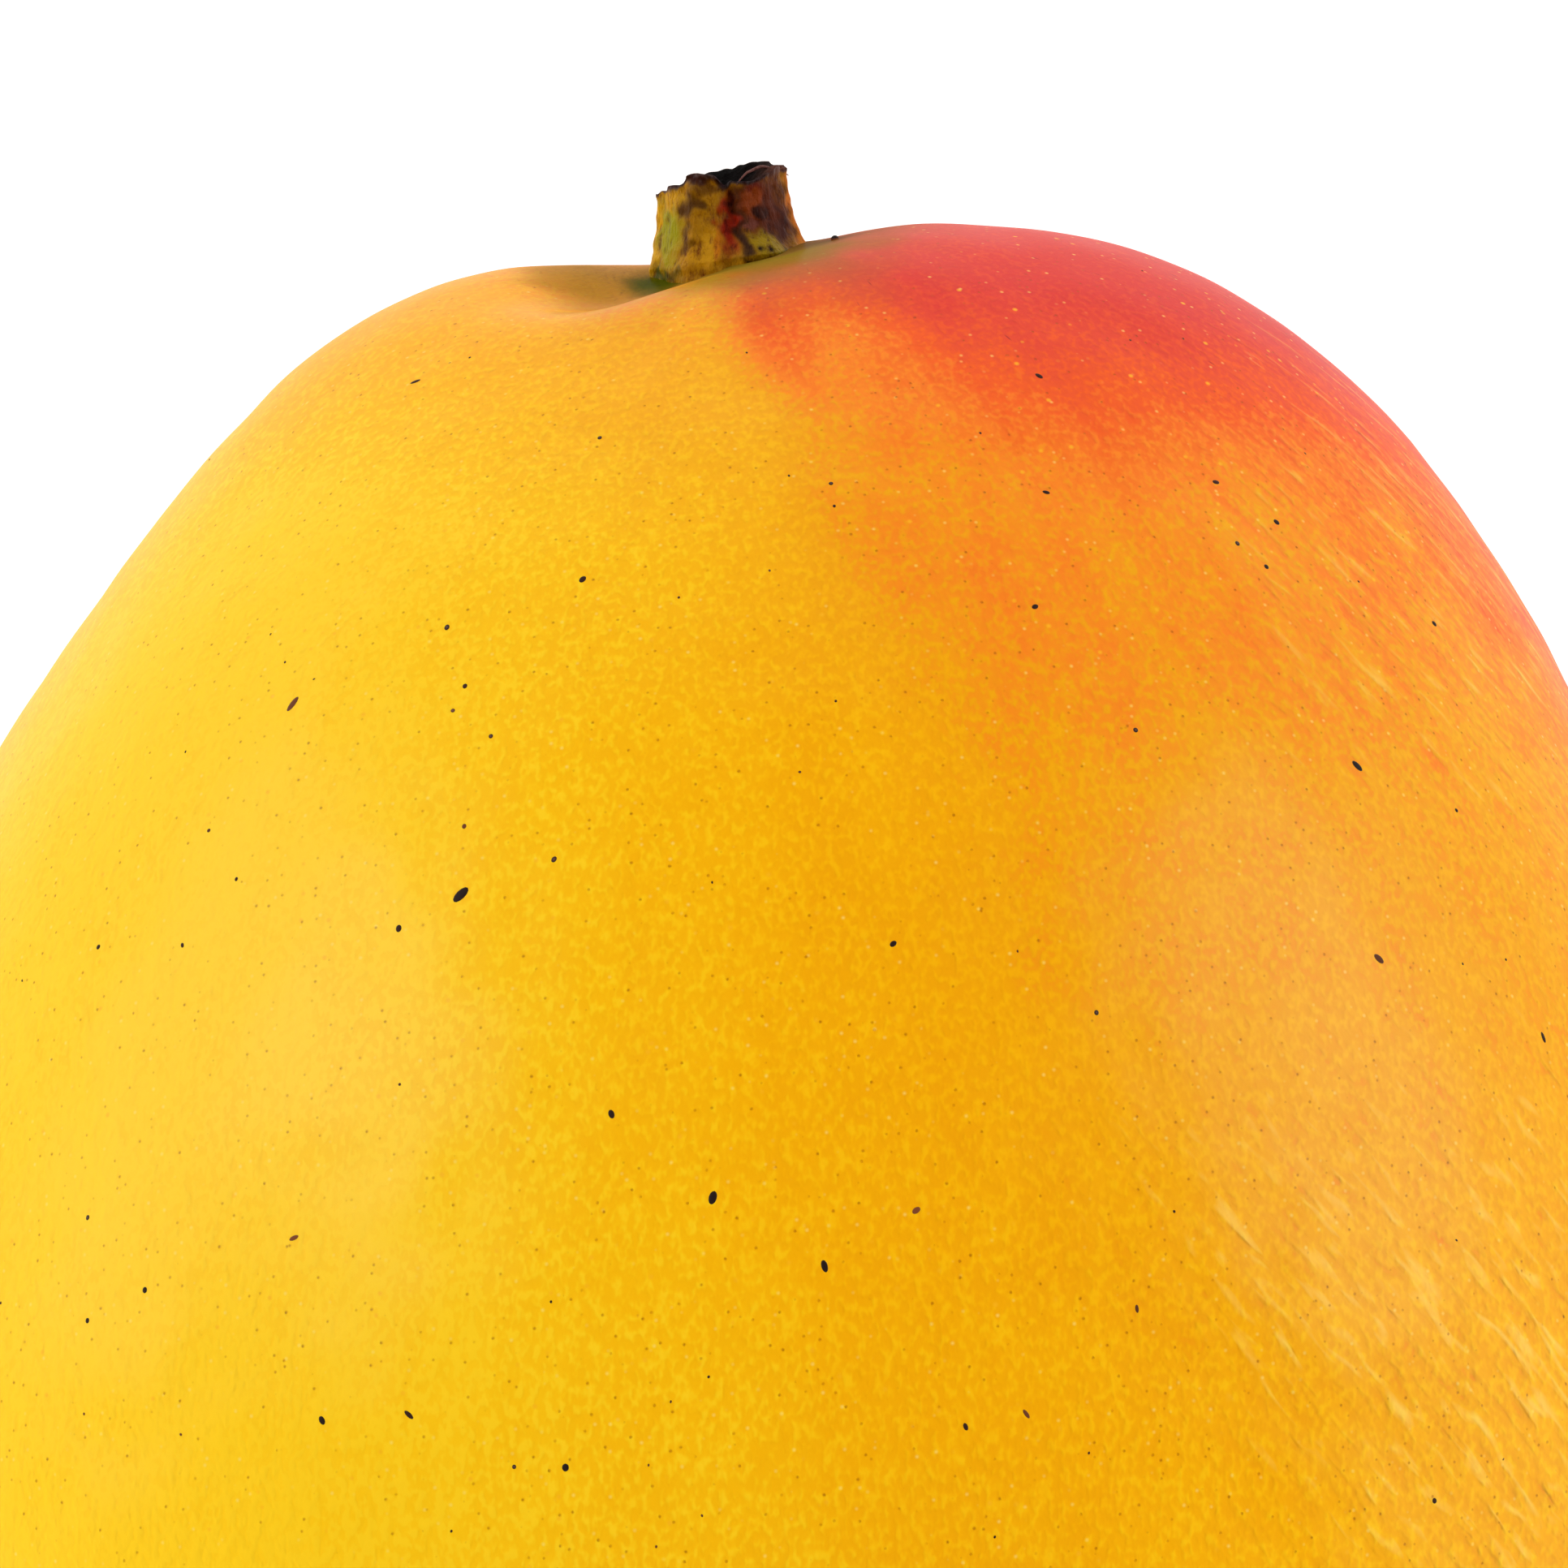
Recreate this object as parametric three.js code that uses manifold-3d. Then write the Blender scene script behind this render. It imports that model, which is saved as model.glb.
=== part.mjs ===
// A ripe mango lying on its lower cheek, with the stub of its stalk in the hollow between the shoulders.
// Millimetres, +Z up. +Y runs to the stem end, +X is the fuller side and +Z the upper cheek.
import * as THREE from 'three';
import { mergeVertices } from 'three/addons/utils/BufferGeometryUtils.js';
import Module from 'manifold-3d';

const wasm = await Module();
wasm.setup();

// The plain body of the fruit: how far it reaches from its middle on each side
const FULL_SIDE_REACH = 46.7;
const SLIM_SIDE_REACH = 45.3;
const STEM_REACH = 58.2;
const TIP_REACH = 59;
const UPPER_CHEEK_REACH = 40;
const LOWER_CHEEK_REACH = 39.5;
// The power of its cross section: 2 is an ellipse, more is squarer
const SECTION_POWER = 2.2;

// Swellings and hollows: tilt is the angle from the stem axis, turn the angle round it from +X towards +Z,
// reach how far each spreads, all in degrees, and height how far it stands out, in millimetres
const SWELLINGS = {
  fullShoulder: { tilt: 19.5, turn: 0, reach: 15.8, height: 3.8 },
  slimShoulder: { tilt: 18.4, turn: 183.5, reach: 12.1, height: 2.3 },
  nearLip: { tilt: 9.3, turn: 76.4, reach: 10, height: 0.8 },
  stemPit: { tilt: 3.4, turn: 168, reach: 5.1, height: -3 },
  groove: { tilt: 10.1, turn: 148, reach: 3.8, height: -1.5 },
  collar: { tilt: 2.6, turn: 180, reach: 3.5, height: 2.05 },
  tipSwing: { tilt: 166, turn: 180, reach: 26, height: 4 },
  beak: { tilt: 158, turn: 180, reach: 8, height: 1.6 },
  sinus: { tilt: 142, turn: 180, reach: 13, height: -1.6 },
};

// The flat spot that the fruit lies on: how much of the lower cheek its weight has pressed flat
const FLAT_DEPTH = 0.4;

// The stalk stub: where it stands, measured from the middle of the fruit, and its size
const STEM_X = -2.6;
const STEM_RADIUS = 2.92;
const FOOT_HEIGHT = 58.2;
const FOOT_SLOPE = 0.55;
const FOOT_FLARE = 0.54;
const FOOT_FLARE_LEAN = 0.27;
const FLARE_FADE = 0.8;
const RIM_HEIGHT = 61.9;
const RIM_RISE = 0.45;
const RIM_RISE_TURN = -45;
const CUT_DEPTH = 0.9;
// How far the side goes on below the skin before it narrows to the root
const SIDE_SUNK = 1.2;
const ROOT_HEIGHT = 54.6;
const ROOT_RADIUS = 1.9;
const SOCKET_GAP = 0.3;

// Corners and creases down the side of the stub: turn and width in degrees, height in millimetres
const STEM_CORNERS = [
  { turn: 8, width: 15, height: 0.2 },
  { turn: 122, width: 13, height: 0.24 },
  { turn: 182, width: 13, height: 0.22 },
  { turn: 240, width: 15, height: 0.2 },
  { turn: 306, width: 15, height: 0.22 },
  { turn: 84, width: 9, height: -0.45 },
];
// Where the rim is torn lower than its slanting plane, or stands higher as a rolled edge or a splinter
const RIM_TEARS = [
  { turn: 90, width: 7, height: -0.35 },
  { turn: 182, width: 22, height: -0.5 },
  { turn: 113, width: 17, height: 0.42 },
  { turn: -5, width: 12, height: 0.14 },
  { turn: -57, width: 15, height: 0.27 },
];
// The scale of a side branch that stood at the foot of the stalk
const BUD = { turn: 63, width: 19, height: 0.7, level: 58.6, spread: 0.6 };

// Fineness of the two grids
const FRUIT_RINGS = 52;
const FRUIT_SPOKES = 64;
const POLE_CROWDING = 1.25;
const STEM_SPOKES = 48;
const CUT_RINGS = 5;
const SIDE_RINGS = 14;
const ROOT_RINGS = 3;

const radians = THREE.MathUtils.degToRad;
const mix = THREE.MathUtils.lerp;

// A closed surface of rings between two poles, from pointAt(step, angle) with step from 0 to 1.
// Its triangles face outwards when the angle turns from +X towards +Z and the steps run towards -Y.
function closedGrid(rings, spokes, pointAt) {
  const positions = [...pointAt(0, 0)];
  const indices = [];
  const at = (ring, spoke) => 1 + (ring - 1) * spokes + (spoke % spokes);
  const last = 1 + (rings - 1) * spokes;
  for (let ring = 1; ring < rings; ring += 1) {
    for (let spoke = 0; spoke < spokes; spoke += 1) {
      positions.push(...pointAt(ring / rings, (spoke / spokes) * 2 * Math.PI));
    }
  }
  positions.push(...pointAt(1, 0));
  for (let spoke = 0; spoke < spokes; spoke += 1) {
    indices.push(0, at(1, spoke + 1), at(1, spoke));
    for (let ring = 1; ring < rings - 1; ring += 1) {
      const [a, b] = [at(ring, spoke), at(ring, spoke + 1)];
      const [c, d] = [at(ring + 1, spoke + 1), at(ring + 1, spoke)];
      indices.push(a, b, c, a, c, d);
    }
    indices.push(at(rings - 1, spoke), at(rings - 1, spoke + 1), last);
  }
  const geometry = new THREE.BufferGeometry();
  geometry.setAttribute('position', new THREE.Float32BufferAttribute(positions, 3));
  geometry.setIndex(indices);
  return geometry;
}

function toSolid(geometry) {
  const bare = geometry.clone();
  bare.deleteAttribute('normal');
  bare.deleteAttribute('uv');
  const merged = mergeVertices(bare);
  return new wasm.Manifold(new wasm.Mesh({
    numProp: 3,
    vertProperties: new Float32Array(merged.attributes.position.array),
    triVerts: new Uint32Array(merged.index.array),
  }));
}

function toGeometry(solid) {
  const cut = solid.getMesh();
  const geometry = new THREE.BufferGeometry();
  geometry.setAttribute('position', new THREE.Float32BufferAttribute(cut.vertProperties, 3));
  geometry.setIndex([...cut.triVerts]);
  geometry.computeVertexNormals();
  return geometry;
}

// The direction at an angle from the stem axis, turned round it from +X towards +Z
function directionAt(tilt, turn) {
  return new THREE.Vector3(
    Math.sin(tilt) * Math.cos(turn),
    Math.cos(tilt),
    Math.sin(tilt) * Math.sin(turn),
  );
}

// Distance from the middle of the fruit to its skin: a rounded body, plus each swelling,
// which fades with the square of its distance round the fruit, as a bell curve does
function skinDistance(tilt, turn) {
  const direction = directionAt(tilt, turn);
  const sideReach = mix(SLIM_SIDE_REACH, FULL_SIDE_REACH, (1 + Math.cos(turn)) / 2);
  const cheekReach = mix(LOWER_CHEEK_REACH, UPPER_CHEEK_REACH, (1 + Math.sin(turn)) / 2);
  const endReach = mix(TIP_REACH, STEM_REACH, (1 + Math.cos(tilt)) / 2);
  const section = Math.abs(direction.x / sideReach) ** SECTION_POWER
    + Math.abs(direction.z / cheekReach) ** SECTION_POWER;
  let distance = (section ** (2 / SECTION_POWER) + (direction.y / endReach) ** 2) ** -0.5;
  for (const swelling of Object.values(SWELLINGS)) {
    const centre = directionAt(radians(swelling.tilt), radians(swelling.turn));
    const away = (1 - direction.dot(centre)) / radians(swelling.reach) ** 2;
    distance += swelling.height * Math.exp(-2 * away);
  }
  return distance;
}

function fruitBody() {
  return closedGrid(FRUIT_RINGS, FRUIT_SPOKES, (step, turn) => {
    const tilt = Math.PI * step ** POLE_CROWDING;
    return directionAt(tilt, turn).multiplyScalar(skinDistance(tilt, turn)).toArray();
  });
}

// The sum of bumps round a ring at one angle, each a bell curve of its own width
function bumpsAt(bumps, turn) {
  return bumps.reduce((sum, bump) => {
    const away = Math.atan2(Math.sin(turn - radians(bump.turn)), Math.cos(turn - radians(bump.turn)));
    return sum + bump.height * Math.exp(-((away / radians(bump.width)) ** 2));
  }, 0);
}

function rimHeight(turn) {
  return RIM_HEIGHT + RIM_RISE * Math.cos(turn - radians(RIM_RISE_TURN)) + bumpsAt(RIM_TEARS, turn);
}

// The stub's radius at a level: a cornered section that flares where it joins the fruit, and the bud scale
function stemRadius(level, turn) {
  const footLevel = FOOT_HEIGHT + FOOT_SLOPE * Math.cos(turn);
  const aboveFoot = Math.max(level - footLevel, 0);
  const flare = (FOOT_FLARE + FOOT_FLARE_LEAN * Math.cos(turn)) * Math.exp(-aboveFoot / FLARE_FADE);
  const bud = bumpsAt([BUD], turn) * Math.exp(-(((level - BUD.level) / BUD.spread) ** 2));
  return STEM_RADIUS + bumpsAt(STEM_CORNERS, turn) + flare + bud;
}

// The stub as a closed solid: from the middle of the dished cut out to the rim, down the side to the
// foot, and in to the end of the root. grow makes the same shape larger all round, for its socket.
function stemBody(grow) {
  const rings = CUT_RINGS + SIDE_RINGS + ROOT_RINGS;
  return closedGrid(rings, STEM_SPOKES, (step, turn) => {
    const ring = step * rings;
    const rim = rimHeight(turn);
    const foot = FOOT_HEIGHT + FOOT_SLOPE * Math.cos(turn) - SIDE_SUNK;
    let level = rim;
    let radius = 0;
    if (ring <= CUT_RINGS) {
      const out = ring / CUT_RINGS;
      const middle = RIM_HEIGHT - CUT_DEPTH;
      level = ring === 0 ? middle : mix(middle, rim, out ** 3);
      radius = out * stemRadius(rim, turn);
    } else if (ring <= CUT_RINGS + SIDE_RINGS) {
      const down = (ring - CUT_RINGS) / SIDE_RINGS;
      level = mix(rim, foot, down);
      radius = stemRadius(level, turn);
    } else {
      const down = (ring - CUT_RINGS - SIDE_RINGS) / ROOT_RINGS;
      level = mix(foot, ROOT_HEIGHT, down);
      radius = ring === rings ? 0 : mix(stemRadius(foot, turn), ROOT_RADIUS, down);
      level -= down * grow;
    }
    const reach = radius === 0 ? 0 : radius + grow;
    return [STEM_X + reach * Math.cos(turn), level, reach * Math.sin(turn)];
  });
}

// A block under the flat spot, wider than the fruit
function floorBlock(lowest) {
  const block = new THREE.BoxGeometry(4 * FULL_SIDE_REACH, 4 * STEM_REACH, STEM_REACH);
  block.translate(0, 0, lowest + FLAT_DEPTH - STEM_REACH / 2);
  return block;
}

function material(name, colour, roughness) {
  return new THREE.MeshStandardMaterial({ name, color: colour, roughness, metalness: 0 });
}

function makeFruit() {
  const body = fruitBody();
  body.computeBoundingBox();
  const lowest = body.boundingBox.min.z;
  const solid = toSolid(body).subtract(toSolid(floorBlock(lowest))).subtract(toSolid(stemBody(SOCKET_GAP)));
  const mesh = new THREE.Mesh(toGeometry(solid), material('mango_skin', '#f6a81c', 0.4));
  mesh.name = 'fruit';
  return mesh;
}

function makeStemStub() {
  const mesh = new THREE.Mesh(toGeometry(toSolid(stemBody(0))), material('dry_stalk', '#7a6420', 0.8));
  mesh.name = 'stem_stub';
  return mesh;
}

// The origin is under the middle of the whole mango, on the surface it lies on
function layOnOrigin(parts) {
  const group = new THREE.Group();
  group.add(...parts);
  const box = new THREE.Box3().setFromObject(group, true);
  const middle = box.getCenter(new THREE.Vector3());
  group.position.set(-middle.x, -middle.y, -box.min.z);
  return group;
}

const group = layOnOrigin([makeFruit(), makeStemStub()]);

export default group;
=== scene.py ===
"""A ripe mango on its lower cheek, seen from above, with the stub of its stalk in the stem hollow.

Lengths are millimetres until they go into a mesh, which is in metres. The fruit is worked out about its own
middle: +X is its fuller side, +Y the stem end and +Z the upper cheek.
"""

from collections import namedtuple

import bpy
import numpy as np
from mathutils import Matrix, Vector


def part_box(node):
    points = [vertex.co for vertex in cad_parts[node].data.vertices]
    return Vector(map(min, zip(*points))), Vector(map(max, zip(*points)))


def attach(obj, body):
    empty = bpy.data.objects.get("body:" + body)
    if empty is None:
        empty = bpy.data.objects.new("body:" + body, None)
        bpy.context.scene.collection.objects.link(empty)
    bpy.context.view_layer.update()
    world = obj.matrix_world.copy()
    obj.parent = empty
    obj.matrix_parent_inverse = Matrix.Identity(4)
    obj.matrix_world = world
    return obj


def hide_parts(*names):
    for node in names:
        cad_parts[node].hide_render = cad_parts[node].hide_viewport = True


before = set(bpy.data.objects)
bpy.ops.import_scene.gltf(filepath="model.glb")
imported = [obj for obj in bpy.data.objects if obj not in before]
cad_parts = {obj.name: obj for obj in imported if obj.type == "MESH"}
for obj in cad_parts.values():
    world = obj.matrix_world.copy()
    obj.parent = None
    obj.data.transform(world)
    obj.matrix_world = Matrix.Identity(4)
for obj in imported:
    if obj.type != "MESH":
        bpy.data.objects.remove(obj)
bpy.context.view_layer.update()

MM = 0.001
DEGREE = np.pi / 180

# The fruit's plain body: how far it reaches from its middle on each side, and how square its section is
FULL_SIDE, SLIM_SIDE = 46.7, 45.3
STEM_END, TIP_END = 58.2, 59.0
UPPER_CHEEK, LOWER_CHEEK = 40.0, 39.5
SECTION_POWER = 2.2
# How softly the skin turns flat where it rests, and how far its wrinkles wind round for a radian of tilt
FLAT_SOFTNESS = 0.2
WRINKLE_TWIST = 0.74

# Swellings and hollows: angle from the stem axis and angle round it in degrees, reach in degrees, height
Swelling = namedtuple("Swelling", "tilt turn reach height")
SWELLINGS = {
    "full_shoulder": Swelling(19.5, 0, 15.8, 3.8),
    "slim_shoulder": Swelling(18.4, 183.5, 12.1, 2.3),
    "near_lip": Swelling(9.3, 76.4, 10, 0.8),
    "stem_pit": Swelling(3.4, 168, 5.1, -3),
    "groove": Swelling(10.1, 148, 3.8, -1.5),
    "collar": Swelling(2.6, 180, 3.5, 2.05),
    "tip_swing": Swelling(166, 180, 26, 4),
    "beak": Swelling(158, 180, 8, 1.6),
    "sinus": Swelling(142, 180, 13, -1.6),
    # Only the skin has this one, which is too low for the solid to need it
    "full_flank": Swelling(36.8, 0, 10.5, 0.68),
}

# The stalk stub, measured from the middle of the fruit
STEM_X = -2.6
STEM_RADIUS = 2.92
FOOT_HEIGHT, FOOT_SLOPE = 58.2, 0.55
FOOT_FLARE, FOOT_FLARE_LEAN, FLARE_FADE = 0.54, 0.27, 0.8
RIM_HEIGHT, RIM_RISE, RIM_RISE_TURN = 61.9, 0.45, -45
CUT_DEPTH = 0.9
SIDE_SUNK = 1.2
ROOT_HEIGHT, ROOT_RADIUS = 54.6, 1.9
Bump = namedtuple("Bump", "turn width height")
STEM_CORNERS = [
    Bump(8, 15, 0.2),
    Bump(122, 13, 0.24),
    Bump(182, 13, 0.22),
    Bump(240, 15, 0.2),
    Bump(306, 15, 0.22),
    Bump(84, 9, -0.45),
]
RIM_TEARS = [
    Bump(90, 7, -0.35),
    Bump(182, 22, -0.5),
    Bump(113, 17, 0.42),
    Bump(-5, 12, 0.14),
    Bump(-57, 15, 0.27),
]
# Finer tears of the rim: a rolled edge, the low far side, the notch and the crust on the right
CRUST_TEARS = [Bump(112, 20, 0.2), Bump(-140, 28, -0.42), Bump(88, 9, 0.22), Bump(30, 16, 0.38)]
BUD = Bump(63, 19, 0.7)
BUD_LEVEL, BUD_SPREAD = 58.6, 0.6
# Turn and level of the two holes in the bud scale
BUD_HOLES = [(65.2, 58.69), (58.2, 58.65)]
HOLE_WIDTH, HOLE_SPREAD, HOLE_DEPTH = 1.9, 0.12, 0.1
# Relief that only the bark has: its rolled edge, the side that is drawn in under the rim, the spread foot,
# and the crease, which slants round the stub
ROLLED_EDGE, ROLL_SPREAD = Bump(112, 26, 0.12), 0.25
DRAWN_IN = Bump(0, 38, 0.3)
SPREAD_FOOT, FOOT_LEVEL, FOOT_SPREAD = Bump(180, 35, 0.14), 58.3, 0.9
CREASE_TURN, CREASE_SLANT, CREASE_LEVEL = 76, 4.6, 59
CREASE_WIDTH, CREASE_DEPTH = 3.5, 0.12
# Ribs are waves that are crowded round the stub and drawn out along it
RIB_CROWDING, RIB_STRETCH = 1.6, 0.12
# How far the bark and its rim stay inside the solid's
BARK_SUNK, RIM_SUNK = 0.08, 0.05
# The burnt band under the rim is this high, and higher in places
BURNT_BAND = 0.14
BURNT_BUMPS = [Bump(113, 22, 0.26), Bump(30, 13, 0.2)]
# Where the crust is mauve-grey (at 114°, a painted glint on its rolled edge), and the wall of the cut
# painted the same
MAUVE_PLACES = [Bump(22, 24, 1.0), Bump(160, 20, 0.7), Bump(114, 14, 0.45)]
MAUVE_WALL = Bump(8, 34, 1.0)
CRUST, MAUVE, HOLLOW, HOLE = "#220F12", "#63392A", "#060302", "#1E0804"

# The camera looks down on the upper cheek, leaning a little towards the stem end
PICTURE_SIZE = 1932
PIXELS_PER_MM = 27
CAMERA_DISTANCE = 600
SENSOR_WIDTH = 36
CAMERA_LEAN = 3.5 * DEGREE
PICTURE_MIDDLE = (0.1, 34.2, 0.0)


def unit(vectors):
    return vectors / np.linalg.norm(vectors, axis=-1)[..., None]


def direction(tilt, turn):
    """Unit vectors at an angle from the stem axis, turned round it from +X towards +Z."""
    return np.stack([np.sin(tilt) * np.cos(turn), np.cos(tilt), np.sin(tilt) * np.sin(turn)], -1)


def skin_distance(pointing):
    """Distance from the fruit's middle to its skin along unit vectors.

    A rounded body, one over the root of the squared section and the squared length, plus each swelling,
    which fades with the square of the angle to its centre as a bell curve does.
    """
    x, y, z = pointing[..., 0], pointing[..., 1], pointing[..., 2]
    across = np.hypot(x, z) + 1e-12
    side = SLIM_SIDE + (FULL_SIDE - SLIM_SIDE) * (1 + x / across) / 2
    cheek = LOWER_CHEEK + (UPPER_CHEEK - LOWER_CHEEK) * (1 + z / across) / 2
    end = TIP_END + (STEM_END - TIP_END) * (1 + y) / 2
    section = np.abs(x / side) ** SECTION_POWER + np.abs(z / cheek) ** SECTION_POWER
    distance = (section ** (2 / SECTION_POWER) + (y / end) ** 2) ** -0.5
    for swelling in SWELLINGS.values():
        centre = direction(np.array(swelling.tilt * DEGREE), np.array(swelling.turn * DEGREE))
        away = (1 - pointing @ centre) / (swelling.reach * DEGREE) ** 2
        distance = distance + swelling.height * np.exp(-2 * away)
    return distance


def fruit_origin():
    """Where the fruit's middle is in the part's frame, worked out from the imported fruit's box."""
    tilt, turn = np.meshgrid(np.linspace(0, np.pi, 361), np.linspace(0, 2 * np.pi, 360), indexing="ij")
    pointing = direction(tilt, turn)
    points = (pointing * skin_distance(pointing)[..., None]).reshape(-1, 3)
    low, high = (np.array(corner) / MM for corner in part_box("fruit"))
    middle = (low + high) / 2 - (points.min(0) + points.max(0)) / 2
    middle[2] = high[2] - points[:, 2].max()
    return middle


ORIGIN = fruit_origin()


def waves(points, seed, shortest, longest, count=36):
    """Smooth random relief between about -1 and 1: the mean of plane waves in random directions.

    Wavelengths are in the units of the points and spread evenly between the shortest and the longest.
    """
    random = np.random.default_rng(seed)
    heading = unit(random.normal(size=(count, 3)))
    length = random.uniform(shortest, longest, count)
    phase = random.uniform(0, 2 * np.pi, count)
    total = np.zeros(points.shape[:-1])
    for i in range(count):
        total += np.sin(points @ heading[i] * (2 * np.pi / length[i]) + phase[i])
    return total / np.sqrt(count)


def smooth_step(value, low, high):
    """0 below low, 1 above high, and an S-shaped curve between them."""
    t = np.clip((value - low) / (high - low), 0, 1)
    return t * t * (3 - 2 * t)


def bell(value, width):
    """1 where the value is 0, fading to both sides in a bell curve of that width."""
    return np.exp(-((value / width) ** 2))


def pole_order(grids):
    """The values of grids in their vertices' order: each grid's first pole, its rings and its last pole."""
    rings = grids[:, 1:-1].reshape(len(grids), -1, *grids.shape[3:])
    return np.concatenate([grids[:, 0, :1], rings, grids[:, -1, :1]], 1).reshape(-1, *grids.shape[3:])


def closed_mesh(name, grids, numbers, vectors):
    """One mesh of closed grids of the same size, in the part's frame in millimetres.

    Each grid is rings of points between two poles, which are its first and its last ring. The numbers and
    the vectors are attributes by name, with one value for each point of the grids or one for many.
    """
    count, rings, spokes = grids.shape[:3]
    spoke = np.arange(spokes)
    after = (spoke + 1) % spokes
    last_ring = 1 + (rings - 3) * spokes
    last_pole = last_ring + spokes
    start = 1 + np.arange(rings - 3)[:, None] * spokes
    corners = [start + spoke, start + after, start + spokes + after, start + spokes + spoke]
    quads = np.stack(corners, -1).reshape(-1, 4)
    cap = np.stack([np.zeros(spokes, int), 1 + after, 1 + spoke], -1)
    end = np.stack([last_ring + spoke, last_ring + after, np.full(spokes, last_pole)], -1)
    faces = []
    for first in np.arange(count) * (last_pole + 1):
        for part in (cap, quads, end):
            faces += (part + first).tolist()
    mesh = bpy.data.meshes.new(name)
    mesh.from_pydata((pole_order(grids) * MM).tolist(), [], faces)
    mesh.polygons.foreach_set("use_smooth", np.ones(len(faces), bool))
    mesh.update()
    kinds = (
        ("FLOAT", "value", numbers, grids.shape[:3]),
        ("FLOAT_VECTOR", "vector", vectors, grids.shape),
    )
    for kind, field, attributes, shape in kinds:
        for key, values in attributes.items():
            in_order = pole_order(np.broadcast_to(values, shape))
            attribute = mesh.attributes.new(key, kind, "POINT")
            attribute.data.foreach_set(field, in_order.astype(np.float32).ravel())
    return mesh


def add_piece(mesh, material, node):
    """Puts a finished mesh into the scene as a piece that rides on the fruit's body."""
    piece = bpy.data.objects.new(mesh.name, mesh)
    bpy.context.collection.objects.link(piece)
    mesh.materials.append(material)
    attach(piece, "root")
    if node:
        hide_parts(node)


def linear(hex_colour):
    """A linear colour from an sRGB hex value."""
    srgb = np.array([int(hex_colour[i : i + 2], 16) for i in (1, 3, 5)]) / 255
    light = np.where(srgb <= 0.04045, srgb / 12.92, ((srgb + 0.055) / 1.055) ** 2.4)
    return (*light.tolist(), 1.0)


def paint(hex_colour):
    """A linear colour without its alpha, as an array, from an sRGB hex value."""
    return np.array(linear(hex_colour)[:3])


def blend(colour, other, amount):
    """The first colour, turned into the other one by an amount at each point."""
    return colour + amount[..., None] * (other - colour)


def add_node(tree, kind, inputs=None, settings=None, stops=None):
    """Adds a shader node with its settings, and fills each input from a number, a colour or a socket.

    stops are the places and hex colours of a colour ramp.
    """
    node = tree.nodes.new(kind)
    for name, value in (settings or {}).items():
        setattr(node, name, value)
    for key, value in (inputs or {}).items():
        if isinstance(value, bpy.types.NodeSocket):
            tree.links.new(value, node.inputs[key])
        else:
            node.inputs[key].default_value = value
    if stops:
        ramp = node.color_ramp
        while len(ramp.elements) < len(stops):
            ramp.elements.new(1.0)
        for element, (place, colour) in zip(ramp.elements, stops):
            element.position = place
            element.color = linear(colour)
    return node


def new_material(name):
    material = bpy.data.materials.new(name)
    material.use_nodes = True
    return material, material.node_tree, material.node_tree.nodes["Principled BSDF"]


# A kind of small spots: the place and scale of its random cells, how far from the middle of a cell a spot
# starts and ends fading, the share of the cells that have none, and the spots' strength and colour
Spots = namedtuple("Spots", "name place scale inner outer bare strength colour")


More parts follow.
